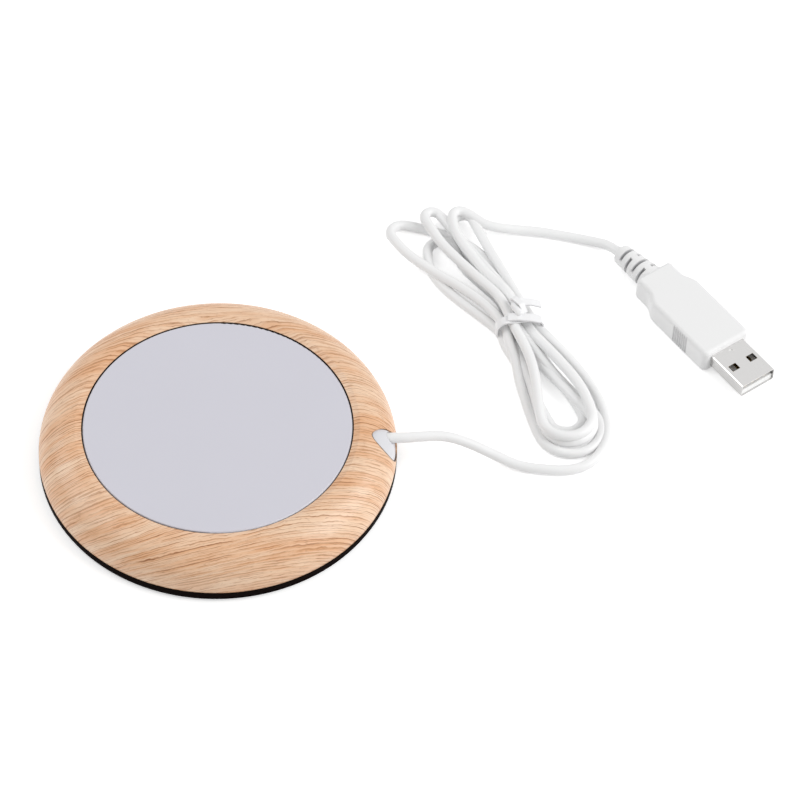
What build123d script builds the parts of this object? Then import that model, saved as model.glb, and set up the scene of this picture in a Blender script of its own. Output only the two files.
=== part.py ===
from build123d import *
import os
from math import cos, pi, radians, sin, tan

# ---------------------------------------------------------------- driving dimensions, mm

# round body
body_radius = 50.0
body_height = 14.9
widest_rise = 1.3
skirt_setback = 0.2
shoulder_width = 10.5
bevel_width = 1.7
bevel_drop = 0.6
shell_wall = 2.0
edge_gap = 0.3
slide_gap = 0.1

# dark sole: soft pad and base cover
pad_thickness = 1.0
pad_setback = 0.5
cover_thickness = 2.4
spigot_height = 2.2
spigot_wall = 1.5
rib_gap = 0.6
rib_thickness = 1.0
rib_count = 8
hub_radius = 9.0

# warming plate and the heater under it
plate_gap = 0.4
plate_thickness = 1.3
plate_drop = 0.5
plate_edge_round = 0.45
ledge_width = 4.8
ledge_thickness = 1.5
plate_spigot_height = 0.7
film_margin = 1.2
film_thickness = 0.25
track_thickness = 0.15
track_width = 1.5
track_inset = 5.5
track_inner_radius = 13.6
track_turns = 5
track_gap_angle = 4.0
retainer_thickness = 1.5
retainer_inset = 3.5
retainer_rib_height = 0.9
notch_width = 6.4
notch_inset = 2.5
window_gap = 0.3

# thermal cutout
cutout_length = 12.0
cutout_width = 6.4
terminal_spread = 3.0

# screws
screw_radius = 1.25
screw_head_radius = 2.4
screw_head_height = 1.1
screw_cross_width = 0.6
screw_cross_depth = 0.5
small_screw_radius = 1.0
small_head_radius = 1.9
base_screw_count = 4
base_screw_inset = 5.0
base_screw_length = 8.0
base_boss_radius = 2.8
well_height = 1.4
well_wall = 0.8
retainer_screw_count = 3
retainer_screw_outset = 2.9
screw_tip_room = 0.3
ledge_skin = 1.1
ear_radius = 2.6

# cord outlet in the side of the ring
outlet_radius = 4.4
outlet_across = -1.3
outlet_drop = 1.7
outlet_wall = 1.4
outlet_depth = 7.6
grommet_gap = 0.15
grommet_recess = 0.4
grommet_flange = 1.5
grommet_flange_width = 11.0
grommet_floor_gap = 0.7

# cord
cord_radius = 1.5
cord_across = 1.4
cord_exit_drop = 1.9
cord_split_inset = 5.0
cord_level_run = 2.9
cord_ramp_run = 4.9
clamp_run = 2.3
clamp_width = 3.0
clamp_strap = 1.2
clamp_screw_spread = 5.5
clamp_post_radius = 2.2
clamped_cord_rise = 2.4
cord_end_outset = 2.8
wire_radius = 0.6
wire_offset = 0.75
wire_rise = 2.8
wire_headroom = 1.3
wire_low_rise = 0.9
wire_inset = 0.4
splice_wall = 0.45
splice_length = 3.6

# plug at the far end
plug_foot = (93.33, 41.90)  # from the outlet's side of the body
plug_turn = -52.3
overmold_width = 16.6
overmold_rear_width = 12.6
overmold_height = 8.0
overmold_length = 34.4
shoulder_rear = 28.2
shoulder_front = 24.4
overmold_round = 1.3
grip_first = 8.6
grip_pitch = 0.9
grip_count = 7
grip_radius = 0.42
boot_width = 8.8
boot_height = 7.4
boot_end_radius = 3.1
boot_overlap = 1.4
boot_core_share = 0.56
boot_slot_width = 1.1
boot_slot_pitch = 2.7
boot_slot_count = 4
boot_slot_first = 1.8
boot_web = 2.0
connector_width = 12.0
connector_height = 4.5
connector_length = 13.9
connector_seat = 6.0
connector_sheet = 0.3
connector_corner = 0.7
window_length = 2.3
window_width = 2.6
window_spread = 3.2
window_place = 7.0
dimple_place = 1.9
dimple_radius = 0.7
tongue_thickness = 1.9
tongue_setback = 0.4
contact_width = 1.0
contact_thickness = 0.2
contact_places = (-3.5, -1.0, 1.0, 3.5)

# tied bundle in the middle of the hank
tie_place = (33.6, 50.3)  # from the outlet's side of the body
tie_turn = 10.0
waist_width = 13.0
waist_height = 7.2
waist_length = 9.0
tie_band_width = 2.6
tie_band_thickness = 0.5
tie_band_offset = 2.0
tie_knot_length = 5.0
tie_knot_radius = 1.1
tie_knot_turn = 20.0
lobe_round = 1.4
lead_stub_length = 3.0
tail_stub_length = 6.0

# ---------------------------------------------------------------- cord outside the body

# x is counted from the body's side at the outlet
lead_run = [
    (7.0, 2.6, 9.4),
    (13.5, 3.9, 8.5),
    (20.5, 3.3, 6.1),
    (27.5, 1.6, 3.3),
    (34.3, -0.7, 1.6),
    (41.0, -1.5, 1.6),
]

tail_run = [
    (27.0, 87.6, 3.2),
    (32.8, 88.1, 1.9),
    (38.8, 88.1, 1.5),
    (45.0, 87.1, 1.5),
    (51.3, 85.8, 1.5),
    (56.6, 84.2, 2.0),
    (60.8, 82.0, 3.0),
    (63.8, 78.3, 3.7),
]

lower_lobe = [  # centre x, centre y, radius of each round that the outline is drawn about
    (30.6, 42.8, 3.0),
    (39.8, 44.5, 3.2),
    (51.4, 28.0, 6.0),
    (51.2, 10.8, 9.0),
    (48.0, 4.4, 7.6),
    (44.2, -1.75, 1.9),
    (42.4, 19.0, 7.4),
]
lower_lobe_height = 6.0

upper_lobe = [
    (26.3, 54.4, 2.6),
    (36.6, 56.4, 2.4),
    (15.6, 90.3, 5.0),
    (7.0, 89.5, 4.6),
    (0.2, 84.4, 5.8),
    (14.8, 63.4, 2.2),
]
upper_lobe_height = 6.7

# strips at the tie's knot: feet across and along the tie, then steps out and up from the foot
knot_foot = (-1.4, -2.9)
short_end_foot = (-1.1, -2.8)
short_end_run = [(-0.8, 0.1), (2.0, 0.8), (5.0, 0.2), (7.9, -1.2)]
short_end_turn = 0.0
long_end_foot = (0.3, 2.2)
long_end_run = [(-3.8, -0.6), (-1.0, -0.1), (2.6, -0.2), (5.6, -0.8)]
long_end_turn = -12.0
arch_foot = (0.1, -2.4)
arch_run = [(-3.2, -0.8), (-2.1, 1.3), (1.4, 1.6), (3.2, -0.6)]
arch_turn = -60.0
arch_width = 1.6
strip_bend = 1.2

# ---------------------------------------------------------------- heights and radii that follow

floor_top = pad_thickness + cover_thickness
widest_height = floor_top + widest_rise
skirt_radius = body_radius - skirt_setback
crest_radius = body_radius - shoulder_width
plate_seat_radius = crest_radius - bevel_width
plate_radius = plate_seat_radius - plate_gap
plate_top = body_height - plate_drop
plate_bottom = plate_top - plate_thickness
ledge_radius = plate_seat_radius - ledge_width
ledge_bottom = plate_bottom - ledge_thickness
plate_spigot_radius = ledge_radius - edge_gap
spigot_bottom = plate_bottom - plate_spigot_height
film_radius = plate_spigot_radius - film_margin
track_outer_radius = film_radius - track_inset
track_pitch = (track_outer_radius - track_inner_radius) / (track_turns - 1)
notch_inner_radius = track_outer_radius - notch_inset
retainer_radius = film_radius - retainer_inset
retainer_screw_circle = ledge_radius + retainer_screw_outset
film_bottom = spigot_bottom - film_thickness
track_bottom = film_bottom - track_thickness
wire_height = floor_top + wire_rise
wire_low = floor_top + wire_low_rise
retainer_bottom = wire_height + wire_headroom
insulation_bottom = retainer_bottom + retainer_thickness
insulation_thickness = track_bottom - insulation_bottom
retainer_hole_top = plate_bottom - ledge_skin
retainer_screw_length = retainer_hole_top - screw_tip_room - retainer_bottom
rib_height = wire_height - wire_radius - rib_gap - floor_top
well_top = floor_top + well_height
cavity_skirt_radius = skirt_radius - shell_wall
base_screw_circle = cavity_skirt_radius - base_screw_inset
outlet_height = ledge_bottom - outlet_drop
outlet_seat = body_radius - outlet_depth
cord_exit_height = ledge_bottom - cord_exit_drop
grommet_flange_height = ledge_bottom - floor_top - grommet_floor_gap
cord_split = body_radius - cord_split_inset
wire_end = track_outer_radius - wire_inset
cord_inner_end = wire_end + cord_end_outset
clamp_place = cord_inner_end + clamp_run
clamped_cord_height = floor_top + clamped_cord_rise
plug_mid = overmold_height / 2


# ---------------------------------------------------------------- helpers


def from_outlet(points):
    """Points counted from the body's side at the outlet, as places in the part's frame."""
    return [(body_radius + point[0], *point[1:]) for point in points]


def bend_radii(route):
    """Radius of each arc: 0.45 of the shorter run over the tangent of half the turn."""
    points = [Vector(*point) for point in route]
    radii = []
    for before, corner, after in zip(points, points[1:], points[2:]):
        run_in = corner - before
        run_out = after - corner
        shorter = min(run_in.length, run_out.length)
        turn = radians(run_in.get_angle(run_out))
        radii.append(0.45 * shorter / tan(turn / 2))
    return radii


def tube_along(route, radius):
    """Round tube on straight runs joined by tangent arcs."""
    start = Vector(*route[0])
    with BuildPart() as tube:
        with BuildLine() as path:
            FilletPolyline(*route, radius=bend_radii(route))
        with BuildSketch(Plane(origin=start, z_dir=Vector(*route[1]) - start)):
            Circle(radius)
        sweep()
    length = sum(edge.length for edge in path.edges())
    share = tube.part.volume / (length * pi * radius**2)
    print("tube", round(length, 1), "mm long, volume share", round(share, 4))
    return tube.part


def body_of_dome(inset):
    """Solid of the ring's outer form, inset by a distance."""
    with BuildPart() as dome:
        with BuildSketch(Plane.XZ):
            with BuildLine():
                Polyline(
                    (0, body_height - inset),
                    (0, pad_thickness),
                    (skirt_radius - inset, pad_thickness),
                    (skirt_radius - inset, floor_top),
                    (body_radius - inset, widest_height),
                )
                EllipticalCenterArc(
                    (crest_radius, widest_height),
                    body_radius - crest_radius - inset,
                    body_height - widest_height - inset,
                    start_angle=0,
                    arc_size=90,
                )
                Line((crest_radius, body_height - inset), (0, body_height - inset))
            make_face()
        revolve(axis=Axis.Z)
    return dome.part


def pan_screw(shank_radius, head_radius, length):
    """Screw standing head down on its head's seat: head below z=0, shank above."""
    with BuildPart() as screw:
        with BuildSketch(Plane.XY.offset(-screw_head_height)):
            Circle(head_radius)
        extrude(amount=screw_head_height)
        chamfer(screw.edges().group_by(Axis.Z)[0], screw_head_height * 0.35)
        with BuildSketch():
            Circle(shank_radius)
        extrude(amount=length)
        chamfer(screw.edges().group_by(Axis.Z)[-1], shank_radius * 0.4)
        with BuildSketch(Plane.XY.offset(-screw_head_height)):
            Rectangle(head_radius, screw_cross_width)
            Rectangle(screw_cross_width, head_radius)
        extrude(amount=screw_cross_depth, mode=Mode.SUBTRACT)
    return screw.part


def hull_lobe(rounds, height):
    """Flat lobe of the hank: the hull of a few rounds, with soft upper edges."""
    with BuildPart() as lobe:
        with BuildSketch():
            for x, y, radius in rounds:
                with Locations((x, y)):
                    Circle(radius)
            make_hull()
        extrude(amount=height)
        fillet(lobe.faces().sort_by(Axis.Z)[-1].edges(), lobe_round)
    return lobe.part


def plug_section(place, height=plug_mid):
    """Plane across the plug at a distance along it from the connector's foot."""
    middle = plug_plane.from_local_coords((place, 0, height))
    return Plane(origin=middle, x_dir=plug_plane.y_dir, z_dir=plug_plane.x_dir)


plug_heading = (cos(radians(plug_turn)), sin(radians(plug_turn)), 0)
plug_plane = Plane(origin=(*from_outlet([plug_foot])[0], 0), x_dir=plug_heading, z_dir=(0, 0, 1))
tie_across = (cos(radians(tie_turn)), sin(radians(tie_turn)), 0)
tie_along = (sin(radians(tie_turn)), -cos(radians(tie_turn)), 0)
tie_plane = Plane(origin=(*from_outlet([tie_place])[0], 0), x_dir=tie_across, z_dir=tie_along)

cord_exit = (cord_across, cord_exit_height)
lead_route = [(cord_split, *cord_exit), (body_radius + edge_gap, *cord_exit)] + from_outlet(lead_run)
tail_route = from_outlet(tail_run)

outer_dome = body_of_dome(0)
recessed_dome = body_of_dome(grommet_recess)

# ---------------------------------------------------------------- ring housing

with BuildPart() as base_bosses:
    with BuildSketch(Plane.XY.offset(well_top)):
        with PolarLocations(base_screw_circle, base_screw_count, start_angle=45):
            Circle(base_boss_radius)
    extrude(amount=body_height - well_top)
    add(outer_dome, mode=Mode.INTERSECT)

with BuildPart() as outlet_boss:
    with BuildSketch(Plane.YZ.offset(outlet_seat)):
        with Locations((outlet_across, outlet_height)):
            Circle(outlet_radius + outlet_wall)
    extrude(amount=body_radius - outlet_seat)
    add(outer_dome, mode=Mode.INTERSECT)
    split(bisect_by=Plane.XY.offset(floor_top + slide_gap), keep=Keep.TOP)

with BuildPart() as ring_housing:
    with BuildSketch(Plane.XZ):
        with BuildLine():
            Line((skirt_radius, floor_top), (body_radius, widest_height))
            outside = EllipticalCenterArc(
                (crest_radius, widest_height),
                body_radius - crest_radius,
                body_height - widest_height,
                start_angle=0,
                arc_size=90,
            )
            Polyline(
                outside @ 1,
                (plate_seat_radius, body_height - bevel_drop),
                (plate_seat_radius, plate_bottom),
                (ledge_radius, plate_bottom),
                (ledge_radius, ledge_bottom),
                (crest_radius, ledge_bottom),
                (crest_radius, body_height - shell_wall),
            )
            inside = EllipticalCenterArc(
                (crest_radius, widest_height),
                body_radius - crest_radius - shell_wall,
                body_height - widest_height - shell_wall,
                start_angle=90,
                arc_size=-90,
            )
            Polyline(
                inside @ 1,
                (cavity_skirt_radius, floor_top),
                (skirt_radius, floor_top),
            )
        make_face()
    revolve(axis=Axis.Z)
    add(base_bosses.part)
    add(outlet_boss.part)
    with BuildSketch(Plane.XY.offset(insulation_bottom)):
        with PolarLocations(retainer_screw_circle, retainer_screw_count, start_angle=60):
            Circle(ear_radius - edge_gap)
    extrude(amount=ledge_bottom - insulation_bottom)
    with BuildSketch(Plane.YZ.offset(outlet_seat)):
        with Locations((outlet_across, outlet_height)):
            Circle(outlet_radius)
    extrude(amount=body_radius - outlet_seat, mode=Mode.SUBTRACT)
    with BuildSketch(Plane.XY.offset(well_top)):
        with PolarLocations(base_screw_circle, base_screw_count, start_angle=45):
            Circle(screw_radius + slide_gap)
    extrude(amount=base_screw_length - well_height + screw_tip_room, mode=Mode.SUBTRACT)
    with BuildSketch(Plane.XY.offset(insulation_bottom)):
        with PolarLocations(retainer_screw_circle, retainer_screw_count, start_angle=60):
            Circle(small_screw_radius + slide_gap)
    extrude(amount=retainer_hole_top - insulation_bottom, mode=Mode.SUBTRACT)

# ---------------------------------------------------------------- base cover and pad

with BuildPart() as base_cover:
    with BuildSketch(Plane.XY.offset(pad_thickness)):
        Circle(body_radius)
    extrude(amount=cover_thickness)
    fillet(base_cover.edges().group_by(Axis.Z)[0], cover_thickness * 0.25)
    with BuildSketch(Plane.XY.offset(floor_top)):
        Circle(cavity_skirt_radius - edge_gap)
        Circle(cavity_skirt_radius - edge_gap - spigot_wall, mode=Mode.SUBTRACT)
        with Locations((cavity_skirt_radius, outlet_across)):
            Rectangle(4 * spigot_wall, 2 * (outlet_radius + outlet_wall + edge_gap), mode=Mode.SUBTRACT)
    extrude(amount=spigot_height)
    with BuildSketch(Plane.XY.offset(floor_top)):
        rib_length = cavity_skirt_radius - edge_gap - spigot_wall / 2 - hub_radius
        with PolarLocations(hub_radius + rib_length / 2, rib_count, start_angle=180 / rib_count):
            Rectangle(rib_length, rib_thickness)
        Circle(hub_radius + rib_thickness)
        Circle(hub_radius, mode=Mode.SUBTRACT)
    extrude(amount=rib_height)
    with BuildSketch(Plane.XY.offset(floor_top)):
        with PolarLocations(base_screw_circle, base_screw_count, start_angle=45):
            Circle(screw_head_radius + slide_gap + well_wall - edge_gap)
    extrude(amount=well_height)
    with BuildSketch(Plane.XY.offset(floor_top)):
        with Locations((clamp_place, cord_across)):
            with GridLocations(0, 2 * clamp_screw_spread, 1, 2):
                Circle(clamp_post_radius)
    extrude(amount=clamped_cord_height - floor_top)
    with BuildSketch(Plane.XY.offset(floor_top)):
        with Locations((clamp_place, cord_across)):
            Rectangle(clamp_width, 2 * cord_radius)
    extrude(amount=clamped_cord_height - cord_radius - floor_top)
    with BuildSketch(Plane.XY.offset(pad_thickness)):
        with PolarLocations(base_screw_circle, base_screw_count, start_angle=45):
            Circle(screw_radius + slide_gap)
    extrude(amount=cover_thickness + well_height, mode=Mode.SUBTRACT)
    with BuildSketch(Plane.XY.offset(pad_thickness)):
        with PolarLocations(base_screw_circle, base_screw_count, start_angle=45):
            Circle(screw_head_radius + slide_gap)
    extrude(amount=cover_thickness + slide_gap, mode=Mode.SUBTRACT)
    with BuildSketch(Plane.XY.offset(floor_top)):
        with Locations((clamp_place, cord_across)):
            with GridLocations(0, 2 * clamp_screw_spread, 1, 2):
                Circle(small_screw_radius + slide_gap)
    extrude(amount=clamped_cord_height - floor_top, mode=Mode.SUBTRACT)

with BuildPart() as non_slip_pad:
    with BuildSketch():
        Circle(body_radius - pad_setback)
    extrude(amount=pad_thickness)
    chamfer(non_slip_pad.edges().group_by(Axis.Z)[0], pad_thickness * 0.3)

# ---------------------------------------------------------------- warming plate and heater pack

with BuildPart() as heating_plate:
    with BuildSketch(Plane.XY.offset(plate_bottom)):
        Circle(plate_radius)
    extrude(amount=plate_thickness)
    fillet(heating_plate.edges().group_by(Axis.Z)[-1], plate_edge_round)
    with BuildSketch(Plane.XY.offset(spigot_bottom)):
        Circle(plate_spigot_radius)
    extrude(amount=plate_spigot_height)

with BuildPart() as heater_film:
    with BuildSketch(Plane.XY.offset(film_bottom)):
        Circle(film_radius)
    extrude(amount=film_thickness)

with BuildPart() as heater_track:
    with BuildSketch(Plane.XY.offset(track_bottom)):
        with BuildLine() as centre_line:
            for turn in range(track_turns):
                radius = track_outer_radius - turn * track_pitch
                CenterArc((0, 0), radius, track_gap_angle, 180 - 2 * track_gap_angle)
                side = 1 if turn % 2 else -1
                end = Vector(side * cos(radians(track_gap_angle)), sin(radians(track_gap_angle)))
                if turn < track_turns - 1:
                    Line(end * radius, end * (radius - track_pitch))
            inner = track_outer_radius - (track_turns - 1) * track_pitch
            Line(
                (-inner * cos(radians(track_gap_angle)), inner * sin(radians(track_gap_angle))),
                (-inner * cos(radians(track_gap_angle)), 0),
            )
            mirror(about=Plane.XZ)
        trace(line_width=track_width)
        pad_across = track_outer_radius * sin(radians(track_gap_angle))
        with Locations((track_outer_radius, pad_across), (track_outer_radius, -pad_across)):
            Circle(track_width)
    extrude(amount=track_thickness)

with BuildPart() as insulation_disc:
    with BuildSketch(Plane.XY.offset(insulation_bottom)):
        Circle(film_radius)
        Rectangle(cutout_length + 2 * window_gap, cutout_width + 2 * window_gap, mode=Mode.SUBTRACT)
        with Locations(((notch_inner_radius + film_radius) / 2 + 1, 0)):
            Rectangle(film_radius - notch_inner_radius + 2, notch_width, mode=Mode.SUBTRACT)
    extrude(amount=insulation_thickness)

with BuildPart() as plate_retainer:
    with BuildSketch(Plane.XY.offset(retainer_bottom)):
        Circle(retainer_radius)
        with PolarLocations(retainer_screw_circle, retainer_screw_count, start_angle=60):
            Circle(ear_radius)
        with PolarLocations(retainer_screw_circle / 2, retainer_screw_count, start_angle=60):
            Rectangle(retainer_screw_circle, 2 * ear_radius)
        with PolarLocations(retainer_screw_circle, retainer_screw_count, start_angle=60):
            Circle(small_screw_radius + slide_gap, mode=Mode.SUBTRACT)
        Rectangle(cutout_length - 2, cutout_width - 2, mode=Mode.SUBTRACT)
        with Locations((notch_inner_radius + retainer_radius / 2, 0)):
            Rectangle(retainer_radius, notch_width, mode=Mode.SUBTRACT)
    extrude(amount=retainer_thickness)
    with BuildSketch(Plane.XY.offset(retainer_bottom)):
        rib_start = cutout_length
        rib_run = retainer_screw_circle - ear_radius - rib_start
        with PolarLocations(rib_start + rib_run / 2, retainer_screw_count, start_angle=60):
            Rectangle(rib_run, rib_thickness)
    extrude(amount=-retainer_rib_height)

with BuildPart() as thermal_cutout:
    with BuildSketch(Plane.XY.offset(insulation_bottom)):
        RectangleRounded(cutout_length, cutout_width, 1.2)
    extrude(amount=film_bottom - insulation_bottom)

# ---------------------------------------------------------------- screws

base_screw = pan_screw(screw_radius, screw_head_radius, base_screw_length)
head_seat = floor_top + slide_gap
with BuildPart() as base_screws:
    with Locations(Plane.XY.offset(head_seat)):
        with PolarLocations(base_screw_circle, base_screw_count, start_angle=45):
            add(base_screw)

retainer_screw = pan_screw(small_screw_radius, small_head_radius, retainer_screw_length)
with BuildPart() as retainer_screws:
    with Locations(Plane.XY.offset(retainer_bottom)):
        with PolarLocations(retainer_screw_circle, retainer_screw_count, start_angle=60):
            add(retainer_screw)

clamp_top = clamped_cord_height + clamp_strap
clamp_screw = pan_screw(small_screw_radius, small_head_radius, clamp_top - floor_top - edge_gap)
with BuildPart() as clamp_screws:
    with Locations(Location((clamp_place, cord_across, clamp_top), (180, 0, 0))):
        with GridLocations(0, 2 * clamp_screw_spread, 1, 2):
            add(clamp_screw)

# ---------------------------------------------------------------- cord outlet, clamp and wires

with BuildPart() as cord_grommet:
    with BuildSketch(Plane.YZ.offset(outlet_seat)):
        with Locations((outlet_across, outlet_height)):
            Circle(outlet_radius - grommet_gap)
    extrude(amount=body_radius - outlet_seat)
    add(recessed_dome, mode=Mode.INTERSECT)
    with BuildSketch(Plane.YZ.offset(outlet_seat - grommet_flange)):
        with Locations((outlet_across, ledge_bottom - grommet_flange_height / 2)):
            RectangleRounded(grommet_flange_width, grommet_flange_height, 1.0)
    extrude(amount=grommet_flange)
    with BuildSketch(Plane.YZ.offset(outlet_seat - grommet_flange)):
        with Locations((cord_across, cord_exit_height)):
            Circle(cord_radius + slide_gap)
    extrude(amount=body_radius - outlet_seat + grommet_flange, mode=Mode.SUBTRACT)

inner_route = [
    (cord_split, *cord_exit),
    (outlet_seat - cord_level_run, *cord_exit),
    (outlet_seat - cord_level_run - cord_ramp_run, cord_across, clamped_cord_height),
    (cord_inner_end, cord_across, clamped_cord_height),
]
inner_cord = tube_along(inner_route, cord_radius)

with BuildPart() as cord_clamp:
    with BuildSketch(Plane.YZ.offset(clamp_place - clamp_width / 2)):
        with Locations((cord_across, clamped_cord_height + clamp_strap / 2)):
            Rectangle(2 * (clamp_screw_spread + clamp_post_radius), clamp_strap)
        with Locations((cord_across, clamped_cord_height)):
            Circle(cord_radius + clamp_strap)
        with Locations((cord_across, clamped_cord_height - cord_radius - clamp_strap)):
            Rectangle(4 * cord_radius + clamp_strap, 2 * (cord_radius + clamp_strap), mode=Mode.SUBTRACT)
        with Locations((cord_across, clamped_cord_height)):
            Circle(cord_radius, mode=Mode.SUBTRACT)
    extrude(amount=clamp_width)
    with BuildSketch(Plane.XY.offset(clamped_cord_height)):
        with Locations((clamp_place, cord_across)):
            with GridLocations(0, 2 * clamp_screw_spread, 1, 2):
                Circle(small_screw_radius + slide_gap)
    extrude(amount=clamp_strap, mode=Mode.SUBTRACT)

return_across = cord_across + wire_offset
live_across = cord_across - wire_offset
return_route = [
    (cord_inner_end, return_across, clamped_cord_height),
    (wire_end, return_across, clamped_cord_height),
    (wire_end, return_across, track_bottom),
]
live_route = [
    (cord_inner_end, live_across, clamped_cord_height),
    (cord_inner_end - 1.2, live_across, clamped_cord_height),
    (cord_inner_end - 4.0, -1.6, wire_low),
    (cord_inner_end - 6.8, -4.4, wire_low),
    (cord_inner_end - 10.4, -5.0, wire_height),
    (terminal_spread + 4.0, -5.0, wire_height),
    (terminal_spread, -wire_radius, wire_height),
    (terminal_spread, -wire_radius, insulation_bottom),
]
link_route = [
    (-terminal_spread, wire_radius, insulation_bottom),
    (-terminal_spread, wire_radius, wire_height),
    (1.5, 3.6, wire_height),
    (9.0, 3.4, wire_height),
    (wire_end - 11.6, -pad_across, wire_height),
    (wire_end, -pad_across, wire_height),
    (wire_end, -pad_across, track_bottom),
]
return_wire = tube_along(return_route, wire_radius)
live_wire = tube_along(live_route, wire_radius)
link_wire = tube_along(link_route, wire_radius)

with BuildPart() as wire_splices:
    for before, after in ((live_route[4], live_route[5]), (link_route[4], link_route[5])):
        middle = (before[0] + after[0]) / 2
        with BuildSketch(Plane.YZ.offset(middle - splice_length / 2)):
            with Locations((before[1], wire_height)):
                Circle(wire_radius + splice_wall)
                Circle(wire_radius + slide_gap, mode=Mode.SUBTRACT)
        extrude(amount=splice_length)

# ---------------------------------------------------------------- cord outside the body

print("lead radii", [round(radius, 1) for radius in bend_radii(lead_route)])
print("tail radii", [round(radius, 1) for radius in bend_radii(tail_route)])
cord_lead = tube_along(lead_route, cord_radius)
cord_tail = tube_along(tail_route, cord_radius)

lobe_below = hull_lobe(from_outlet(lower_lobe), lower_lobe_height)
lobe_above = hull_lobe(from_outlet(upper_lobe), upper_lobe_height)
lead_end = Vector(*lead_route[-1])
lead_heading = (lead_end - Vector(*lead_route[-2])).normalized()
tail_start = Vector(*tail_route[0])
tail_heading = (tail_start - Vector(*tail_route[1])).normalized()

with BuildPart() as cord_hank:
    add(lobe_below)
    add(lobe_above)
    with BuildSketch(tie_plane.offset(-waist_length / 2)):
        with Locations((0, tie_band_thickness + waist_height / 2)):
            RectangleRounded(waist_width, waist_height, waist_height * 0.4)
    extrude(amount=waist_length)
    with BuildSketch(Plane(origin=lead_end, z_dir=lead_heading)):
        Circle(cord_radius)
    extrude(amount=lead_stub_length)
    with BuildSketch(Plane(origin=tail_start, z_dir=tail_heading)):
        Circle(cord_radius)
    extrude(amount=tail_stub_length)

band_width = waist_width + 2 * tie_band_thickness
band_height = waist_height + 2 * tie_band_thickness
knot_height = band_height + tie_knot_radius - tie_band_thickness / 2
tie_up = Vector(0, 0, 1)


def knot_point(foot):
    """Point at the knot's height, from its distances across and along the tie."""
    return tie_plane.from_local_coords((foot[0], knot_height, foot[1]))


def bent_strip(foot, turn, run, width):
    """Strip of the tie, bent in an upright plane that is turned from the tie's own."""
    heading = Vector(1, 0, 0).rotate(Axis.Z, tie_turn + turn)
    upright = Plane(origin=knot_point(foot), x_dir=heading, z_dir=heading.cross(tie_up))
    with BuildPart() as strip:
        with BuildSketch(upright.offset(-width / 2)):
            with BuildLine():
                FilletPolyline(*run, radius=strip_bend)
            trace(line_width=tie_band_thickness)
        extrude(amount=width)
    return strip.part


knot_heading = Vector(*tie_along).rotate(Axis.Z, tie_knot_turn)
with BuildPart() as tie_knot:
    with BuildSketch(Plane(origin=knot_point(knot_foot), z_dir=knot_heading)):
        Circle(tie_knot_radius)
    extrude(amount=tie_knot_length)
    fillet(tie_knot.edges().filter_by(GeomType.CIRCLE), tie_knot_radius * 0.6)

short_end = bent_strip(short_end_foot, short_end_turn, short_end_run, tie_band_width)
long_end = bent_strip(long_end_foot, long_end_turn, long_end_run, tie_band_width)
tie_arch = bent_strip(arch_foot, arch_turn, arch_run, arch_width)

with BuildPart() as twist_tie:
    with BuildSketch(tie_plane.offset(tie_band_offset - tie_band_width / 2)):
        with Locations((0, band_height / 2)):
            RectangleRounded(band_width, band_height, waist_height * 0.4 + tie_band_thickness)
        with Locations((0, tie_band_thickness + waist_height / 2)):
            RectangleRounded(waist_width, waist_height, waist_height * 0.4, mode=Mode.SUBTRACT)
    extrude(amount=tie_band_width)
    add(tie_knot.part)
    add(short_end)
    add(long_end)
    add(tie_arch)

# ---------------------------------------------------------------- plug

boot_start = plug_section(-overmold_length + boot_overlap)
boot_end = Plane(
    origin=tail_route[-1],
    x_dir=plug_plane.y_dir,
    z_dir=Vector(*tail_route[-1]) - Vector(*tail_route[-2]),
)
boot_length = (boot_end.origin - boot_start.origin).length


def boot_station(share):
    """Plane across the boot, part of the way from the overmold to the cord."""
    middle = boot_start.origin * (1 - share) + boot_end.origin * share
    facing = boot_start.z_dir * (1 - share) + boot_end.z_dir * share
    return Plane(origin=middle, x_dir=plug_plane.y_dir, z_dir=facing)


with BuildPart() as usb_overmold:
    with BuildSketch(plug_plane) as plan:
        with BuildLine():
            Polyline(
                (0, 0),
                (0, overmold_width / 2),
                (-shoulder_front, overmold_width / 2),
                (-shoulder_rear, overmold_rear_width / 2),
                (-overmold_length, overmold_rear_width / 2),
                (-overmold_length, 0),
            )
            mirror(about=Plane.XZ)
        make_face()
        fillet(plan.vertices().group_by(Axis.X)[-1], 1.8)
        fillet(plan.vertices().group_by(Axis.X)[0], 1.2)
        fillet(plan.vertices().filter_by(lambda v: -shoulder_rear - 1 < v.X < -shoulder_front + 1), 5.0)
    extrude(amount=overmold_height)
    fillet(usb_overmold.faces().filter_by(Axis.Z).edges(), overmold_round)
    with BuildSketch(plug_plane):
        for row in range(grip_count):
            for side in (-1, 1):
                with Locations((-grip_first - row * grip_pitch, side * overmold_width / 2)):
                    Circle(grip_radius)
    extrude(amount=overmold_height, mode=Mode.SUBTRACT)
    with BuildSketch(boot_end):
        Circle(boot_end_radius)
    with BuildSketch(boot_start):
        Ellipse(boot_width / 2, boot_height / 2)
    loft()
    for row in range(boot_slot_count):
        share = (boot_overlap + boot_slot_first + row * boot_slot_pitch) / boot_length
        side_radius = boot_width / 2 + (boot_end_radius - boot_width / 2) * share
        with BuildSketch(boot_station(share).offset(-boot_slot_width / 2)):
            Circle(boot_width)
            Circle(side_radius * boot_core_share, mode=Mode.SUBTRACT)
            if row % 2:
                Rectangle(2.2 * boot_width, boot_web, mode=Mode.SUBTRACT)
            else:
                Rectangle(boot_web, 2.2 * boot_width, mode=Mode.SUBTRACT)
        extrude(amount=boot_slot_width, mode=Mode.SUBTRACT)
    with BuildSketch(plug_section(-connector_seat)):
        RectangleRounded(connector_width, connector_height, connector_corner)
    extrude(amount=connector_seat + overmold_round, mode=Mode.SUBTRACT)

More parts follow.
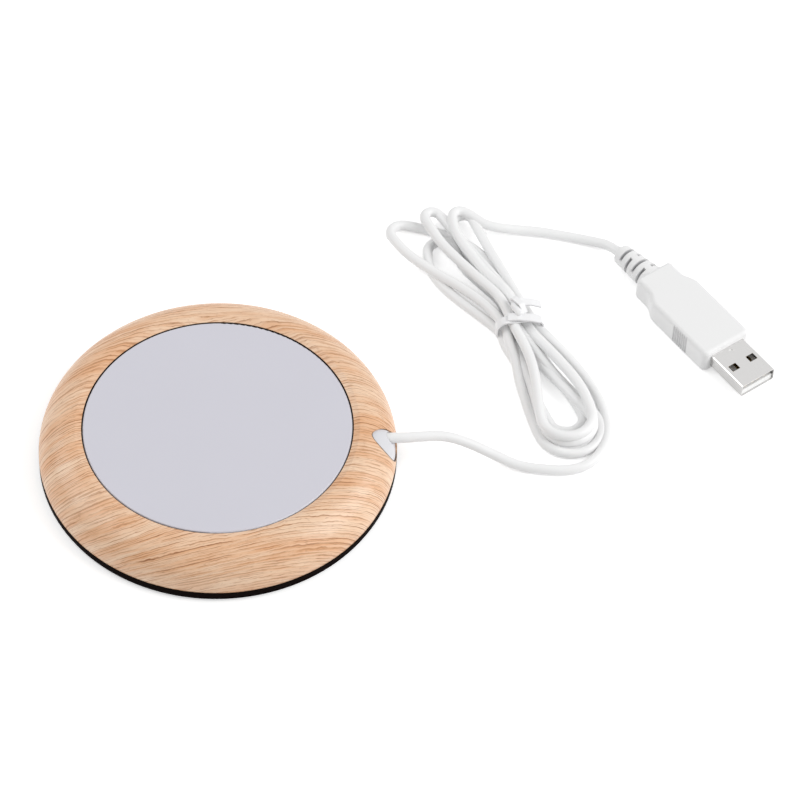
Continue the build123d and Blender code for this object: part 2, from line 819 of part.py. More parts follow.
with BuildPart() as usb_shell:
    with BuildSketch(plug_section(-connector_seat)):
        RectangleRounded(connector_width, connector_height, connector_corner)
        RectangleRounded(
            connector_width - 2 * connector_sheet,
            connector_height - 2 * connector_sheet,
            connector_corner - connector_sheet,
            mode=Mode.SUBTRACT,
        )
    extrude(amount=connector_seat + connector_length)
    with BuildSketch(plug_plane):
        with Locations((window_place, 0)):
            with GridLocations(0, 2 * window_spread, 1, 2):
                Rectangle(window_length, window_width)
    extrude(amount=overmold_height, mode=Mode.SUBTRACT)
    for face_height in (plug_mid + connector_height / 2, plug_mid - connector_height / 2):
        with BuildSketch(plug_plane.offset(face_height)):
            with Locations((dimple_place, 0)):
                Circle(dimple_radius)
        extrude(amount=connector_sheet / 2, both=True, mode=Mode.SUBTRACT)

inner_bottom = plug_mid - connector_height / 2 + connector_sheet
inner_corner = connector_corner - connector_sheet
inner_width = connector_width - 2 * connector_sheet - 2 * slide_gap
inner_height = connector_height - 2 * connector_sheet
with BuildPart() as usb_tongue:
    with BuildSketch(plug_section(-connector_seat, inner_bottom + tongue_thickness / 2)):
        RectangleRounded(inner_width, tongue_thickness, inner_corner)
    extrude(amount=connector_seat + connector_length - tongue_setback)
    with BuildSketch(plug_section(-connector_seat)):
        RectangleRounded(inner_width, inner_height, inner_corner)
    extrude(amount=connector_seat)

with BuildPart() as usb_contacts:
    with BuildSketch(plug_plane.offset(inner_bottom + tongue_thickness)):
        for across in contact_places:
            with Locations(((connector_length - 2 * tongue_setback) / 2, across)):
                Rectangle(connector_length - 4 * tongue_setback, contact_width)
    extrude(amount=contact_thickness)

# ---------------------------------------------------------------- write the pieces

pieces = {
    "ring_housing": ring_housing.part,
    "base_cover": base_cover.part,
    "non_slip_pad": non_slip_pad.part,
    "heating_plate": heating_plate.part,
    "heater_film": heater_film.part,
    "heater_track": heater_track.part,
    "insulation_disc": insulation_disc.part,
    "plate_retainer": plate_retainer.part,
    "thermal_cutout": thermal_cutout.part,
    "base_screws": base_screws.part,
    "retainer_screws": retainer_screws.part,
    "clamp_screws": clamp_screws.part,
    "cord_grommet": cord_grommet.part,
    "cord_clamp": cord_clamp.part,
    "inner_cord": inner_cord,
    "return_wire": return_wire,
    "live_wire": live_wire,
    "link_wire": link_wire,
    "wire_splices": wire_splices.part,
    "cord_lead": cord_lead,
    "cord_hank": cord_hank.part,
    "cord_tail": cord_tail,
    "twist_tie": twist_tie.part,
    "usb_overmold": usb_overmold.part,
    "usb_shell": usb_shell.part,
    "usb_tongue": usb_tongue.part,
    "usb_contacts": usb_contacts.part,
}

os.makedirs("parts", exist_ok=True)
for name, piece in pieces.items():
    piece.label = name
    export_step(piece, f"parts/{name}.step")
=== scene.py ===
from math import acos, atan2, cos, hypot, pi, radians, sin

import bmesh
import bpy
from mathutils import Matrix, Vector


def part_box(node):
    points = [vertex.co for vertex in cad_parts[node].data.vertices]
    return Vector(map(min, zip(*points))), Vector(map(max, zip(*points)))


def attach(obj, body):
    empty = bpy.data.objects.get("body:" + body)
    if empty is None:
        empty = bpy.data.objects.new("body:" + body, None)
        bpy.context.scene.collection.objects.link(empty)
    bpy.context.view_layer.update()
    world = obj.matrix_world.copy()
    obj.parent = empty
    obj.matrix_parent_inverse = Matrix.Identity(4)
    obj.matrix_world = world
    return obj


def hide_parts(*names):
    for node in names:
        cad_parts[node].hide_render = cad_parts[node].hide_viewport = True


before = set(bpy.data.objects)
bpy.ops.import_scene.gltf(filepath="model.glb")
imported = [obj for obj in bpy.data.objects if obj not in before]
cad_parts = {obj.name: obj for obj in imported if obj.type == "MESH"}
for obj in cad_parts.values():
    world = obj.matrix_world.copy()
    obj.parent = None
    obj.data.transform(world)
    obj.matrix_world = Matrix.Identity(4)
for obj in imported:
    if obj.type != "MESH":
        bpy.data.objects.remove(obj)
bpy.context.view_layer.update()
print("frame loaded")

mm = 0.001

# where the main view is taken from, all lengths in mm and angles in degrees
mainView = {
    "place": (50.3, -664.4, 834.1),
    "down": 50.5,   # how far down it looks
    "lean": 2.0,    # and how far it leans to one side
    "lens": 171.2,
    "sensor": 36,
    "nearest": 50,
    "furthest": 20000,
}

# colours as seen in daylight, 0 to 255
colours = {
    "woodPale": (242, 210, 180),
    "woodWarm": (224, 163, 113),
    "woodLine": (150, 98, 60),
    "plate": (209, 208, 217),
    "sole": (15, 8, 7),
    "cord": (242, 242, 242),
    "grip": (238, 238, 238),
    # painted shade for the grip's grooves and the boot's slots
    "grooveShade": (176, 176, 178),
    "tie": (244, 244, 245),
    "bush": (216, 216, 220),
    "steel": (216, 215, 214),
    # painted shade for the sides of the plug's metal shell
    "steelPaintedShade": (192, 191, 190),
    "tongue": (246, 246, 245),
    "gold": (190, 160, 104),
    "film": (205, 140, 60),
    "board": (224, 216, 200),
    "moulding": (232, 229, 220),
    "dark": (42, 42, 44),
    "red": (196, 44, 40),
    "sleeve": (150, 156, 164),
    "floor": (250, 250, 250),
}


def seen(name):
    # a colour as the shader takes it, from how it looks
    def linear(value):
        value /= 255
        return value / 12.92 if value <= 0.04045 else ((value + 0.055) / 1.055) ** 2.4
    return tuple(linear(value) for value in colours[name]) + (1.0,)


def makeCamera(view):
    down, lean = radians(view["down"]), radians(view["lean"])
    ahead = Vector((0, cos(down), -sin(down)))
    right = Vector((1, 0, 0))
    up = right.cross(ahead)
    across = right * cos(lean) + up * sin(lean)
    upright = up * cos(lean) - right * sin(lean)
    camera = bpy.data.objects.new("main_camera", bpy.data.cameras.new("main_camera"))
    turn = Matrix((across, upright, -ahead)).transposed().to_4x4()
    camera.matrix_world = Matrix.Translation(Vector(view["place"]) * mm) @ turn
    camera.data.sensor_width = view["sensor"]
    camera.data.lens = view["lens"]
    camera.data.clip_start = view["nearest"] * mm
    camera.data.clip_end = view["furthest"] * mm
    bpy.context.scene.collection.objects.link(camera)
    bpy.context.scene.camera = camera


makeCamera(mainView)
print("camera placed")

# the cord, in mm: it leaves the bush, goes through the hank's folds and on to the plug
cordFacts = {
    "diameter": 3.0,
    "length": 1000,
    "exit": (49.2, 1.4, 9.7),
    "foldSteps": 6,   # points round the end of a fold, less one
    "fineAlong": 6,
    "fineAround": 5,
}

leadRoute = [
    (45.0, 1.4, 9.7), (50.3, 1.4, 9.7), (57.0, 2.6, 9.4), (63.5, 3.9, 8.5), (70.5, 3.3, 6.1),
    (77.5, 1.6, 3.3), (84.3, -0.7, 1.6), (91.0, -1.5, 1.6), (98.0, -1.6, 1.5), (104.0, 0.8, 1.5),
    (108.0, 6.5, 1.5), (109.3, 13.5, 1.5), (108.2, 21.0, 1.5), (105.3, 28.5, 1.6),
    (101.0, 35.5, 1.9), (96.0, 42.0, 2.4),
]
tailRoute = [
    (80.3, 60.8, 6.0), (75.0, 65.6, 5.8), (70.0, 73.5, 5.5), (66.1, 80.3, 5.3), (64.0, 86.0, 5.2),
    (63.6, 91.2, 5.0), (66.6, 92.8, 4.6), (70.3, 90.6, 4.1), (73.4, 88.2, 3.7),
    (77.0, 87.6, 3.2), (82.8, 88.1, 1.9), (88.8, 88.1, 1.5), (95.0, 87.1, 1.5), (101.3, 85.8, 1.5),
    (106.6, 84.2, 2.0), (110.8, 82.0, 3.0), (113.8, 78.3, 3.7),
]

tie = {
    "centre": (83.9, 48.4),
    "turn": 10.0,
    # where each strand goes through the band: across it and above the floor
    "strands": {
        "lead": (4.9, 4.0), "middle": (0.9, 1.9), "left": (-3.6, 4.1), "rising": (-0.6, 4.1),
        "lowLeft": (-5.0, 1.9), "low": (-2.0, 1.9), "lowRight": (3.7, 1.9), "top": (-2.1, 6.3),
        "tail": (2.3, 4.3),
    },
}

# each fold leaves the band as one strand, goes round its end to the left and comes back as another
folds = [
    {"from": "lead", "to": "low", "centre": (67.0, 89.6), "radius": 3.0, "heights": (3.1, 2.3, 2.0),
     "out": [(82.6, 61.8, 3.8), (80.2, 67.2, 3.6), (77.6, 73.0, 3.4), (73.4, 81.8, 3.2)],
     "back": [(68.6, 77.0, 1.9), (79.0, 59.5, 2.3)]},
    {"from": "low", "to": "middle", "centre": (98.0, 14.2), "radius": 7.1, "heights": (3.4, 3.4, 3.4),
     "out": [(82.0, 43.4, 2.0), (86.6, 32.0, 3.2)],
     "back": [(96.5, 27.5, 3.2), (85.4, 42.5, 1.8)]},
    {"from": "middle", "to": "left", "centre": (50.0, 84.3), "radius": 4.2, "heights": (1.6, 2.4, 3.2),
     "out": [(82.2, 60.8, 1.7), (78.8, 68.0, 1.5), (75.2, 74.8, 1.5), (70.2, 80.8, 1.5),
             (63.8, 84.6, 1.5), (56.6, 87.2, 1.5)],
     "back": [(51.0, 75.5, 3.4), (58.2, 69.4, 3.5), (66.6, 63.6, 3.7), (75.0, 56.2, 4.0)]},
    {"from": "left", "to": "rising", "centre": (98.3, 13.6), "radius": 9.2, "heights": (1.6, 1.5, 1.6),
     "out": [(80.6, 44.2, 4.0), (83.0, 37.2, 3.2), (84.0, 29.4, 2.5)],
     "back": [(100.6, 24.6, 1.8), (91.4, 35.6, 3.2), (86.2, 44.0, 4.0)]},
    {"from": "rising", "to": "lowLeft", "centre": (61.0, 78.6), "radius": 4.2, "heights": (1.5, 1.5, 1.5),
     "out": [(78.6, 59.6, 2.6), (72.6, 66.8, 1.6), (66.8, 73.6, 1.5)],
     "back": [(57.6, 71.6, 1.5), (61.2, 65.4, 1.5), (67.4, 59.0, 1.5), (75.6, 51.6, 1.6)]},
    {"from": "lowLeft", "to": "lowRight", "centre": (97.3, 17.3), "radius": 5.0, "heights": (1.5, 1.5, 1.5),
     "out": [(79.6, 44.0, 1.6), (84.6, 34.6, 1.5)],
     "back": [(97.6, 28.0, 1.5), (89.4, 41.0, 1.6)]},
    {"from": "lowRight", "to": "top", "centre": (58.2, 89.4), "radius": 2.6, "heights": (3.8, 4.4, 4.9),
     "out": [(82.0, 60.8, 3.0), (74.2, 71.2, 3.2), (67.2, 81.0, 3.3)],
     "back": [(60.4, 79.4, 4.9), (66.2, 72.2, 5.0), (72.4, 64.8, 5.5), (78.6, 57.8, 6.0)]},
    {"from": "top", "to": "tail", "centre": (97.3, 14.8), "radius": 7.4, "heights": (5.7, 5.7, 5.6),
     "out": [(83.4, 44.6, 6.2), (87.0, 36.0, 6.0), (88.8, 26.6, 5.8)],
     "back": [(101.4, 26.6, 5.6), (93.6, 37.8, 5.4), (88.4, 44.6, 5.0)]},
]


def inTie(strand):
    across, height = tie["strands"][strand]
    turn = radians(tie["turn"])
    x, y = tie["centre"]
    return (x + across * cos(turn), y + across * sin(turn), height)


def foldPoints(fold):
    cx, cy = fold["centre"]
    radius = fold["radius"]
    steps = cordFacts["foldSteps"]

    def touching(point, side):
        # where a strand from this point meets the round end
        away = hypot(point[0] - cx, point[1] - cy)
        return atan2(point[1] - cy, point[0] - cx) + side * acos(min(1, radius / away))

    first = touching(fold["out"][-1], 1)
    last = touching(fold["back"][0], -1)
    while last < first:
        last += 2 * pi
    heightOut, heightRound, heightBack = fold["heights"]
    reach = radius / cos((last - first) / steps / 2) ** 0.5   # control points stand a little outside
    points = list(fold["out"])
    for step in range(steps + 1):
        share = step / steps
        angle = first + (last - first) * share
        if share < 0.5:
            height = heightOut + (heightRound - heightOut) * share * 2
        else:
            height = heightRound + (heightBack - heightRound) * (share * 2 - 1)
        points.append((cx + reach * cos(angle), cy + reach * sin(angle), height))
    return points + fold["back"]


def cordPoints():
    points = list(leadRoute)
    for fold in folds:
        points.append(inTie(fold["from"]))
        points += foldPoints(fold)
    points.append(inTie(folds[-1]["to"]))
    return points + tailRoute


def makeCord(name, points, facts):
    curve = bpy.data.curves.new(name, "CURVE")
    curve.dimensions = "3D"
    spline = curve.splines.new("NURBS")
    spline.points.add(len(points) - 1)
    for place, point in zip(spline.points, points):
        place.co = (point[0] * mm, point[1] * mm, point[2] * mm, 1)
        place.radius = facts["diameter"] * mm / 2   # the tube's radius, on a bevel of 1
    spline.order_u = 3
    spline.use_endpoint_u = True
    curve.resolution_u = facts["fineAlong"]
    curve.bevel_depth = 1
    curve.bevel_resolution = facts["fineAround"]
    piece = bpy.data.objects.new(name, curve)
    bpy.context.scene.collection.objects.link(piece)
    return piece


powerCord = makeCord("power_cord", cordPoints(), cordFacts)
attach(powerCord, "root")
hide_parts("cord_lead", "cord_hank", "cord_tail")
print("cord laid")


class Signal:
    # an output socket that takes ordinary sums: each one adds a Math node
    def __init__(self, paint, socket):
        self.paint = paint
        self.socket = socket

    def math(self, operation, *others):
        return self.paint.add("ShaderNodeMath", {"operation": operation}, dict(enumerate((self,) + others)))

    def __add__(self, other):
        return self.math("ADD", other)

    __radd__ = __add__

    def __sub__(self, other):
        return self.math("SUBTRACT", other)

    def __rsub__(self, other):
        return self.math("MULTIPLY_ADD", -1.0, other)

    def __mul__(self, other):
        return self.math("MULTIPLY", other)

    __rmul__ = __mul__

    def __truediv__(self, other):
        return self.math("DIVIDE", other)

    def __rtruediv__(self, other):
        return self.math("POWER", -1.0) * other

    def between(self, low, high):
        # 0 below low, 1 above high, smooth between
        sockets = {"Value": self, "From Min": low, "From Max": high}
        return self.paint.add("ShaderNodeMapRange", {"interpolation_type": "SMOOTHSTEP"}, sockets)

    def near(self, low, high, blur):
        # 1 from low to high, fading out over the blur at both ends
        return self.between(low - blur, low) * (1 - self.between(high, high + blur))


class Paint:
    # the nodes of one material or of the world
    def __init__(self, owner):
        owner.use_nodes = True
        self.tree = owner.node_tree

    def add(self, kind, settings, sockets, output=0):
        # any node: its settings first, then a value or a link for each socket
        node = self.tree.nodes.new(kind)
        for name, value in settings.items():
            setattr(node, name, value)
        self.fill(node, sockets)
        return Signal(self, node.outputs[output])

    def fill(self, node, sockets):
        for key, value in sockets.items():
            if isinstance(value, Signal):
                self.tree.links.new(value.socket, node.inputs[key])
            else:
                node.inputs[key].default_value = value

    def out(self, name):
        # what a node that is already there gives
        return Signal(self, self.tree.nodes[name].outputs[0])

    def point(self, x, y, z):
        return self.add("ShaderNodeCombineXYZ", {}, {"X": x, "Y": y, "Z": z})

    def noise(self, where, scale=1.0, detail=3.0, rough=0.5):
        sockets = {"Vector": where, "Scale": scale, "Detail": detail, "Roughness": rough}
        return self.add("ShaderNodeTexNoise", {}, sockets)

    def mixed(self, share, first, second):
        sockets = {"Factor": share, 6: first, 7: second}   # 6 and 7 are the two colours
        return self.add("ShaderNodeMix", {"data_type": "RGBA"}, sockets, 2)

    def backdropRay(self):
        # 1 where the background is seen, straight on, in a reflection or through glass
        shown = self.add("ShaderNodeLightPath", {}, {}, "Is Camera Ray")
        for ray in ("Is Glossy Ray", "Is Transmission Ray"):
            shown = shown.math("MAXIMUM", self.add("ShaderNodeLightPath", {}, {}, ray))
        return shown


class Finish(Paint):
    # one material, with its steady values set on the shader itself
    def __init__(self, look):
        self.material = bpy.data.materials.new(look["name"])
        super().__init__(self.material)
        self.place = self.add("ShaderNodeTexCoord", {}, {}, "Object")
        self.feed({
            "Base Color": seen(look["colour"]),
            "Roughness": look["roughness"],
            "Metallic": look.get("metallic", 0.0),
            "Coat Weight": look.get("coat", 0.0),
            "IOR": look.get("ior", 1.45),
        })

    def feed(self, sockets):
        self.fill(self.tree.nodes["Principled BSDF"], sockets)

    def axes(self):
        # the place on the object, in mm
        return [
            self.add("ShaderNodeSeparateXYZ", {}, {0: self.place}, axis) / mm
            for axis in "XYZ"
        ]

    def bump(self, surface, height, strength):
        sockets = {"Height": surface, "Distance": height * mm, "Strength": strength}
        self.feed({"Normal": self.add("ShaderNodeBump", {}, sockets)})


# painted shadow lines in the gaps round the plate and the bush, in mm
gapShadeLines = {
    # painted shade in the plate's gap: inside this reach and below the crest by this drop
    "plate": {"reach": 38.2, "reachBlur": 0.4, "drop": 0.9, "dropBlur": 0.3},
    # a fine painted shadow line round the front of the bush, whose middle stands at this y and z
    "bush": {
        # how wide and soft the painted shadow line is, and how dark
        "middle": (-1.3, 9.9), "radius": 4.4, "width": 0.18, "blur": 0.14, "lineDarkness": 0.85,
        "side": (40.0, 41.0),                  # it comes in between these x
        "flatter": 2.6, "thinned": 0.72,       # so far above the middle the ring lies flatter
        "behind": (-0.5, 2.0), "faded": 0.8,   # and so far behind it the line fades
    },
}


# painted shade in the gap between the ring and the plate
def paintedShadeAtPlate(x, y, z, crest):
    plate = gapShadeLines["plate"]
    foot = crest - plate["drop"]
    low = 1 - z.between(foot, foot + plate["dropBlur"])
    reach = (x * x + y * y).math("SQRT")
    return low * (1 - reach.between(plate["reach"], plate["reach"] + plate["reachBlur"]))


# a painted shadow line round the front of the bush
def paintedShadeAtBush(x, y, z):
    bush = gapShadeLines["bush"]
    aside, above = y - bush["middle"][0], z - bush["middle"][1]
    away = (aside * aside + above * above).math("SQRT") - bush["radius"]
    away = away / (1 - above.between(bush["flatter"], bush["radius"]) * bush["thinned"])
    line = 1 - away.between(bush["width"], bush["width"] + bush["blur"])
    line = line * (1 - aside.between(*bush["behind"]) * bush["faded"]) * x.between(*bush["side"])
    return line * bush["lineDarkness"]


# printed wood film, all lengths in mm
grain = {
    "name": "printed_wood", "colour": "woodPale", "roughness": 0.38, "coat": 0.12,
    "climb": 0.26,         # how much the lines climb to the right
    "frontClimb": 0.003,   # and how much more for each mm to the front
    "bow": 0.003,          # how they bow
    "wrap": 45.0,          # height over which the film is drawn out to double
    # how far the lines wander, over what length and width
    "sway": {"reach": 3.2, "length": 34.0, "width": 22.0, "seed": 0.0, "detail": 2.0},
    "crowding": {"reach": 3.0, "length": 60.0, "width": 4.5, "seed": 2.2, "detail": 1.0},
    "shiver": {"reach": 0.8, "length": 2.6, "width": 2.4, "seed": 4.4, "detail": 2.0},
    # how far apart the lines stand, how long their strokes are, and where in the noise the ink comes in
    "bold": {"pitch": 1.3, "length": 7.0, "seed": 3.7, "detail": 3.0, "rough": 0.6, "inked": (0.36, 0.56)},
    "fine": {"pitch": 0.64, "length": 7.0, "seed": 6.1, "detail": 3.0, "rough": 0.6, "inked": (0.42, 0.62)},
    # a line's dark edge, in shares of the pitch: where it comes and where it goes
    "edge": {"comes": (0.60, 0.86), "goes": (0.90, 1.0)},
    # patches along the lines: pores, warm bands, and stretches where the bold lines are bolder
    "pores": {"length": 1.6, "width": 0.30, "seed": 8.1, "detail": 1.0, "inked": (0.62, 0.74)},
    "bands": {"length": 45.0, "width": 5.2, "seed": 5.5, "detail": 3.0, "rough": 0.6, "inked": (0.36, 0.66)},
    "boldness": {"length": 38.0, "width": 2.3, "seed": 9.3, "detail": 1.0, "inked": (0.38, 0.62)},
    # how much of the warm colour goes over the pale one
    "warm": {"bands": 0.60, "bold": 0.36, "fine": 0.12},
    # how dark each line is, and how much darker in a warm band or a bolder stretch
    "lineDarkness": {
        "bold": 0.22, "boldInBand": 0.22, "bolder": 0.36,
        "fine": 0.66, "fineInBand": 0.14,
        "pores": 0.36,
    },
    "inkRoughness": 0.12,
    "press": {"depth": 0.02, "strength": 0.4},
}


def makeWood():
    wood = Finish(grain)
    x, y, z = wood.axes()
    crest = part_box("ring_housing")[1][2] / mm
    drawn = (crest - z) / grain["wrap"] + 1
    climb = grain["climb"] - y * grain["frontClimb"]
    across = y * drawn - x * climb + x * x * grain["bow"]

    def patches(kind, width, lane):
        # long soft patches that lie along the lines
        where = wood.point(x / kind["length"], lane / width, kind["seed"])
        return wood.noise(where, detail=kind["detail"], rough=kind.get("rough", 0.5))

    lane = across
    for kind in (grain["sway"], grain["crowding"], grain["shiver"]):
        lane = lane + (patches(kind, kind["width"], across) - 0.5) * kind["reach"]

    def strokes(kind):
        # lines with a sharp dark edge that fade to one side, broken into strokes
        rings = (lane / kind["pitch"]).math("FRACT")
        edge = rings.between(*grain["edge"]["comes"]) * (1 - rings.between(*grain["edge"]["goes"]))
        inked = patches(kind, kind["pitch"], lane).between(*kind["inked"])
        return edge * inked, rings * inked

    def scattered(kind):
        return patches(kind, kind["width"], lane).between(*kind["inked"])

    bold, boldFade = strokes(grain["bold"])
    fine, fineFade = strokes(grain["fine"])
    pores = scattered(grain["pores"])
    bands = scattered(grain["bands"])
    boldness = scattered(grain["boldness"])

    warm = grain["warm"]
    warmth = bands * warm["bands"] + boldFade * warm["bold"] + fineFade * warm["fine"]
    base = wood.mixed(warmth, seen("woodPale"), seen("woodWarm"))
    lineDarkness = grain["lineDarkness"]
    boldInk = lineDarkness["bold"] + bands * lineDarkness["boldInBand"] + boldness * lineDarkness["bolder"]
    fineInk = lineDarkness["fine"] + bands * lineDarkness["fineInBand"]
    lines = bold * boldInk + fine * fineInk + pores * lineDarkness["pores"]
    printed = wood.mixed(lines, base, seen("woodLine"))
    # painted shade in the gaps round the plate and the bush, in the sole's dark colour
    paintedGapShade = paintedShadeAtPlate(x, y, z, crest).math("MAXIMUM", paintedShadeAtBush(x, y, z))
    wood.feed({
        "Base Color": wood.mixed(paintedGapShade, printed, seen("sole")),
        "Roughness": grain["roughness"] + lines * grain["inkRoughness"],
    })
    wood.bump(1 - lines, grain["press"]["depth"], grain["press"]["strength"])
    return wood.material


# moulded plastic, rubber, paint or board, where a piece's own look says nothing else
moulded = {
    "size": 0.6, "height": 0.01,   # of the fine speckle, in mm
    "clouds": 60,                  # soft clouds to the metre
    "shade": 0.03,                 # how much lighter or darker the clouds are
    "glossSpeckle": 0.12, "glossClouds": 0.06,
    "strength": 0.5,
}


def makeSpeckled(look):
    # a fine unevenness in gloss, height and colour
    look = {**moulded, **look}
    finish = Finish(look)
    speckle = finish.noise(finish.place, 1 / (look["size"] * mm)) - 0.5
    clouds = finish.noise(finish.place, look["clouds"], detail=2.0) - 0.5
    value = 1 + clouds * look["shade"] * 2
    tinted = finish.add("ShaderNodeHueSaturation", {}, {"Color": seen(look["colour"]), "Value": value})
    gloss = speckle * look["glossSpeckle"] + clouds * look["glossClouds"]
    finish.feed({"Base Color": tinted, "Roughness": look["roughness"] + gloss})
    finish.bump(speckle, look["height"], look["strength"])
    return finish.material


# the plug's soft grip, in mm: its own length runs from the foot of the metal shell
grip = {
    "name": "grip_rubber", "colour": "grip", "roughness": 0.45, "ior": 1.35,
    "foot": (143.33, 41.90),
    "turn": -52.3,
    "width": 16.6,
    "height": 8.0,
    # shade gathers between the ribs of both sides
    "grooves": {
        "from": -14.3, "to": -8.3, "endBlur": 0.3,
        "depth": 0.34, "depthBlur": 0.24,
        "land": 1.2, "landBlur": 0.4,
        "shade": 0.34,
    },
    # and in the slots of the strain relief boot, a drifting taper
    "boot": {
        "from": -33.0, "run": -13.9, "drift": -1.1, "radius": 4.1, "taper": 1.0,
        "core": (0.72, 0.90),                     # in shares of the radius
        "slots": (0.14, 0.90), "slotBlur": 0.04,  # in shares of the run
        "shade": 0.8,
    },
    "speckle": {"perMetre": 1700, "gloss": 0.12, "height": 0.01, "strength": 0.5},
}


def alongPlug(x, y, foot=(0, 0)):
    # how far along the plug a place is, and how far to its side
    turn = radians(grip["turn"])
    ahead, left = x - foot[0], y - foot[1]
    return ahead * cos(turn) + left * sin(turn), left * cos(turn) - ahead * sin(turn)


def makeGrip():
    rubber = Finish(grip)
    x, y, z = rubber.axes()
    run, side = alongPlug(x, y, grip["foot"])

    grooves = grip["grooves"]
    ribbed = run.near(grooves["from"], grooves["to"], grooves["endBlur"])
    wall = grip["width"] / 2 - grooves["depth"]
    deep = 1 - side.math("ABSOLUTE").between(wall, wall + grooves["depthBlur"])
    top = grip["height"] - grooves["land"]
    inGrooves = ribbed * deep * (1 - z.between(top, top + grooves["landBlur"]))

    boot = grip["boot"]
    share = (run - boot["from"]) / boot["run"]
    offAxis = side - share * boot["drift"]
    rise = z - grip["height"] / 2
    fromAxis = (offAxis * offAxis + rise * rise).math("SQRT")
    core = 1 - (fromAxis / (boot["radius"] - share * boot["taper"])).between(*boot["core"])
    inSlots = core * share.near(*boot["slots"], boot["slotBlur"])

    shade = inGrooves * grooves["shade"] + inSlots * boot["shade"]
    speckle = rubber.noise(rubber.place, grip["speckle"]["perMetre"]) - 0.5
    rubber.feed({
        "Base Color": rubber.mixed(shade, seen("grip"), seen("grooveShade")),
        "Roughness": grip["roughness"] + speckle * grip["speckle"]["gloss"],
    })
    rubber.bump(speckle, grip["speckle"]["height"], grip["speckle"]["strength"])
    return rubber.material


# plated sheet and screws, where a piece's own look says nothing else
plated = {
    "metallic": 1.0,
    "streaks": 2.4,    # to the mm
    "stretch": 0.06,   # a streak's width for each mm of its length
    "gloss": 0.16, "height": 0.004, "strength": 0.4,
    # how softly the painted shade on the shell's sides comes in, in mm
    "paintedShadeBlur": 0.3,
}


def makeBrushed(look):
    # faint streaks along the plug
    look = {**plated, **look}
    finish = Finish(look)
    x, y, z = finish.axes()
    run, side = alongPlug(x, y)
    where = finish.point(run * look["stretch"], side, z)
    streaks = finish.noise(where, look["streaks"], detail=2.0) - 0.5
    finish.feed({"Roughness": look["roughness"] + streaks * look["gloss"]})
    if "paintedShadeBelow" in look:
        # below this height the shell's sides get a painted shade, darker than its top, for the darker
        # surroundings they reflect
        paintedShade = 1 - z.between(look["paintedShadeBelow"], look["paintedShadeBelow"] + look["paintedShadeBlur"])
        finish.feed({"Base Color": finish.mixed(paintedShade, seen(look["colour"]), seen("steelPaintedShade"))})
    finish.bump(streaks, look["height"], look["strength"])
    return finish.material


speckledLooks = {
    "heating_plate": {"name": "coated_plate", "colour": "plate", "roughness": 0.36,
                      "size": 0.5, "height": 0.006, "shade": 0.01, "coat": 0.1},
    "base_cover": {"name": "dark_moulding", "colour": "sole", "roughness": 0.55, "ior": 1.06},
    "non_slip_pad": {"name": "dark_foam", "colour": "sole", "roughness": 0.8, "ior": 1.06,
                     "size": 0.9, "height": 0.05, "shade": 0.1},
    "cord_grommet": {"name": "bush_rubber", "colour": "bush", "roughness": 0.45},
    "usb_tongue": {"name": "tongue_plastic", "colour": "tongue", "roughness": 0.35},
    "twist_tie": {"name": "tie_plastic", "colour": "tie", "roughness": 0.3},
    "heater_film": {"name": "amber_film", "colour": "film", "roughness": 0.3},
    "insulation_disc": {"name": "fibre_board", "colour": "board", "roughness": 0.8,
                        "size": 0.3, "height": 0.03, "shade": 0.08},
    "plate_retainer": {"name": "pale_moulding", "colour": "moulding", "roughness": 0.5},
    "cord_clamp": {"name": "clamp_moulding", "colour": "moulding", "roughness": 0.5},
    "thermal_cutout": {"name": "cutout_case", "colour": "dark", "roughness": 0.35},
    "return_wire": {"name": "dark_wire", "colour": "dark", "roughness": 0.3},
    "live_wire": {"name": "red_wire", "colour": "red", "roughness": 0.3},
    "link_wire": {"name": "link_wire_skin", "colour": "red", "roughness": 0.3},
    "wire_splices": {"name": "splice_sleeve", "colour": "sleeve", "roughness": 0.5},
    "inner_cord": {"name": "cord_skin", "colour": "cord", "roughness": 0.34, "size": 0.5, "height": 0.008},
}
brushedLooks = {
    "usb_shell": {"name": "plated_steel", "colour": "steel", "roughness": 0.24, "paintedShadeBelow": 5.8},
    "usb_contacts": {"name": "gold_flash", "colour": "gold", "roughness": 0.22},
    "heater_track": {"name": "heater_foil", "colour": "steel", "roughness": 0.35},
    "base_screws": {"name": "screw_zinc", "colour": "steel", "roughness": 0.35},
    "retainer_screws": {"name": "retainer_zinc", "colour": "steel", "roughness": 0.35},
    "clamp_screws": {"name": "clamp_zinc", "colour": "steel", "roughness": 0.35},
}

finishes = {"ring_housing": makeWood(), "usb_overmold": makeGrip()}
for name, look in speckledLooks.items():
    finishes[name] = makeSpeckled(look)
for name, look in brushedLooks.items():
    finishes[name] = makeBrushed(look)
for name in ("cord_lead", "cord_hank", "cord_tail"):
    finishes[name] = finishes["inner_cord"]

for name, material in finishes.items():
    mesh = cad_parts[name].data
    mesh.materials.clear()
    mesh.materials.append(material)
powerCord.data.materials.append(finishes["inner_cord"])
print("finishes applied")

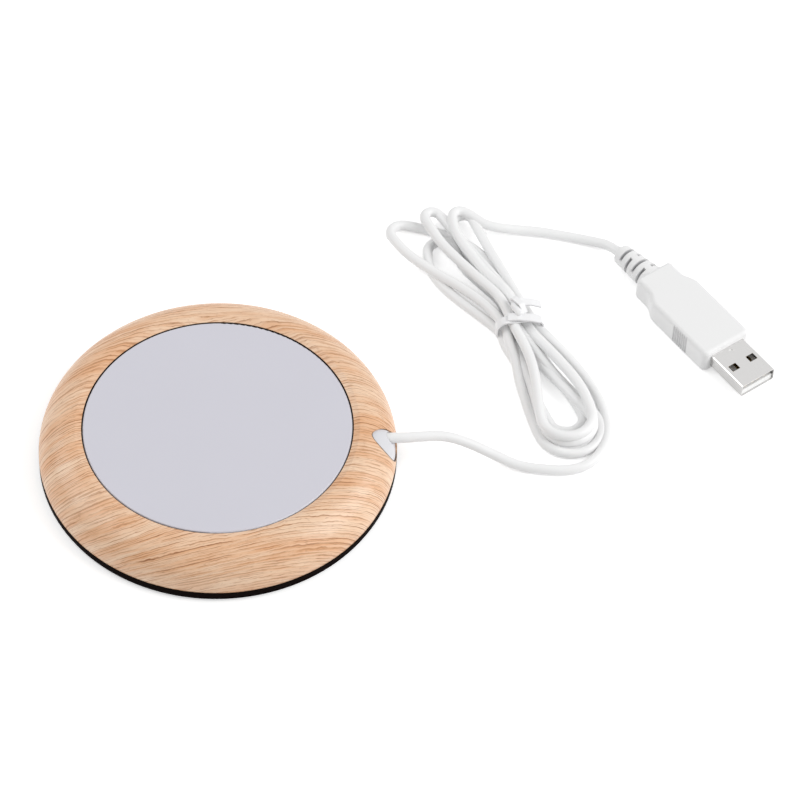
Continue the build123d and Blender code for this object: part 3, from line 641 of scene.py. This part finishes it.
studio = {
    "floorSize": 6.0,
    "floorGlow": 0.42,
    "worldLight": 0.43,
    "aim": (0.08, 0.03, 0),
    "lamps": [
        {"name": "key_lamp", "place": (1.12, -0.08, 0.8), "size": 1.2, "watts": 12.5},
        {"name": "fill_lamp", "place": (-1.0, 0.2, 0.9), "size": 1.2, "watts": 7},
    ],
}


def makeFloor():
    mesh = bpy.data.meshes.new("floor")
    shape = bmesh.new()
    bmesh.ops.create_grid(shape, x_segments=1, y_segments=1, size=studio["floorSize"] / 2)
    shape.to_mesh(mesh)
    shape.free()
    floor = bpy.data.objects.new("floor", mesh)
    bpy.context.scene.collection.objects.link(floor)
    material = bpy.data.materials.new("floor_paper")
    paper = Paint(material)
    paper.fill(paper.tree.nodes["Principled BSDF"], {
        "Base Color": seen("floor"), "Roughness": 0.9, "Specular IOR Level": 0.0,
    })
    lit = paper.out("Principled BSDF")
    glow = paper.add("ShaderNodeEmission", {}, {"Strength": studio["floorGlow"]})
    white = paper.add("ShaderNodeAddShader", {}, {0: lit, 1: glow})
    choice = paper.add("ShaderNodeMixShader", {}, {0: paper.backdropRay(), 1: lit, 2: white})
    paper.fill(paper.tree.nodes["Material Output"], {"Surface": choice})
    mesh.materials.append(material)


def makeLamp(lamp):
    light = bpy.data.lights.new(lamp["name"], "AREA")
    light.shape = "DISK"
    light.size = lamp["size"]
    light.energy = lamp["watts"]
    holder = bpy.data.objects.new(lamp["name"], light)
    holder.location = lamp["place"]
    aim = Vector(studio["aim"]) - Vector(lamp["place"])
    holder.rotation_euler = aim.to_track_quat("-Z", "Y").to_euler()
    bpy.context.scene.collection.objects.link(holder)


def makeWorld():
    world = bpy.data.worlds.new("soft_white")
    room = Paint(world)
    white = (1, 1, 1, 1)
    room.fill(room.tree.nodes["Background"], {"Color": white, "Strength": studio["worldLight"]})
    lit = room.out("Background")
    backdrop = room.add("ShaderNodeBackground", {}, {"Color": white, "Strength": 1.0})
    choice = room.add("ShaderNodeMixShader", {}, {0: room.backdropRay(), 1: lit, 2: backdrop})
    room.fill(room.tree.nodes["World Output"], {"Surface": choice})
    bpy.context.scene.world = world


makeFloor()
for lamp in studio["lamps"]:
    makeLamp(lamp)
makeWorld()
bpy.context.scene.view_settings.view_transform = "Standard"
print("stage set")
